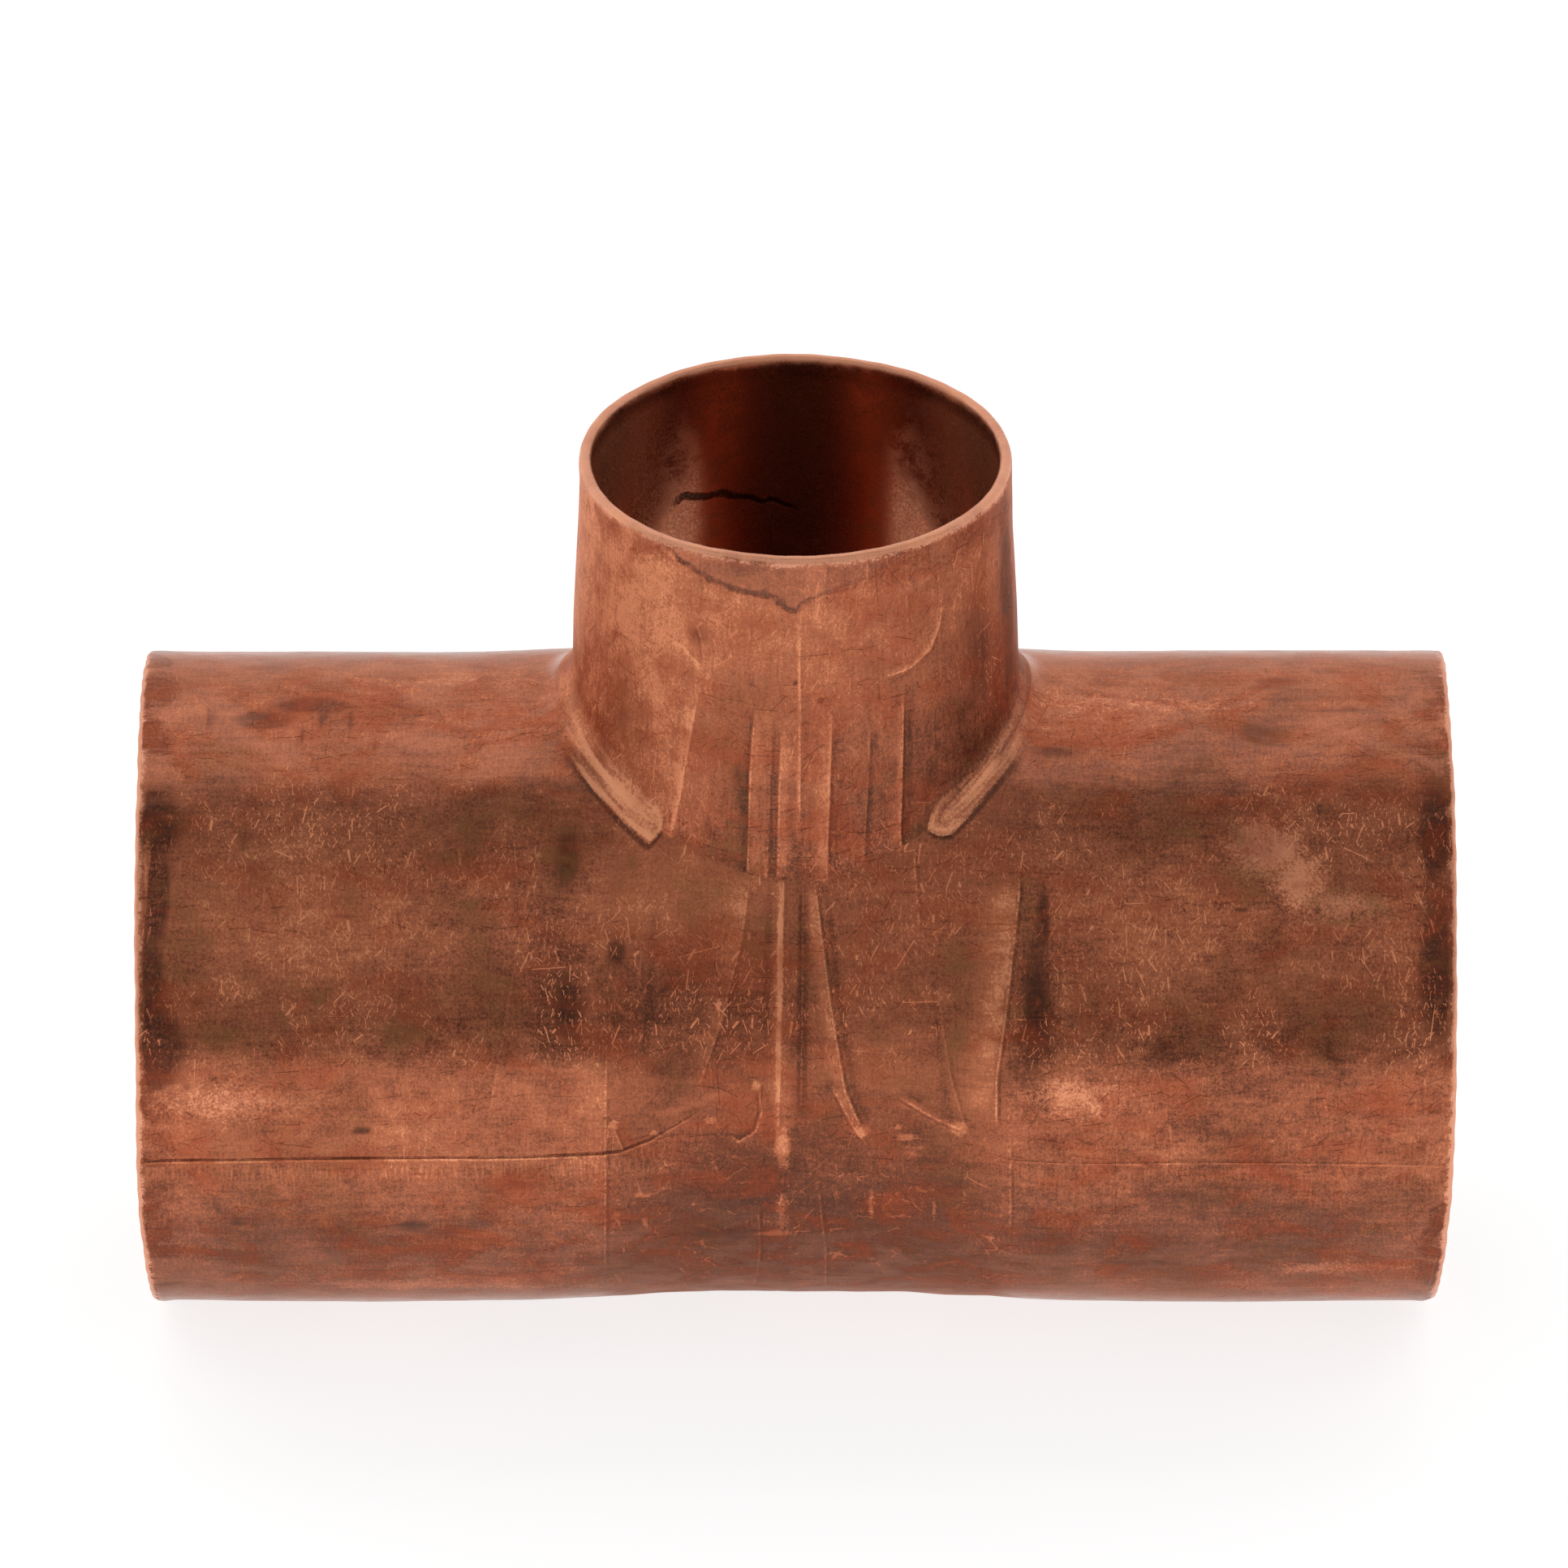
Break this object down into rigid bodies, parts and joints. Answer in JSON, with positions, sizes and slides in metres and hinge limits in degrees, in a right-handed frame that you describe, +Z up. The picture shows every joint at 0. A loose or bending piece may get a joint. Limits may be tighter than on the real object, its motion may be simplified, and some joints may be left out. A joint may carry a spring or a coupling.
{
  "type": "solder tee fitting",
  "caption": "Wrought copper reducing tee: a straight run with a plain solder socket at each end and a smaller socketed branch standing square on its middle.",
  "frame": {"origin": "on the underside of the run, directly below the point where the run's axis crosses the branch's axis, which is 28.45 mm above it", "axes": "+X along the run, +Z up the branch's axis towards its mouth, +Y square to both"},
  "size_m": [0.1132, 0.0568, 0.0802],
  "materials": {
    "copper": "oxidised copper, satin, with die marks, scuffs and darker tarnish"
  },
  "bodies": {
    "root": {"tee_body": "copper"}
  },
  "joints": []
}
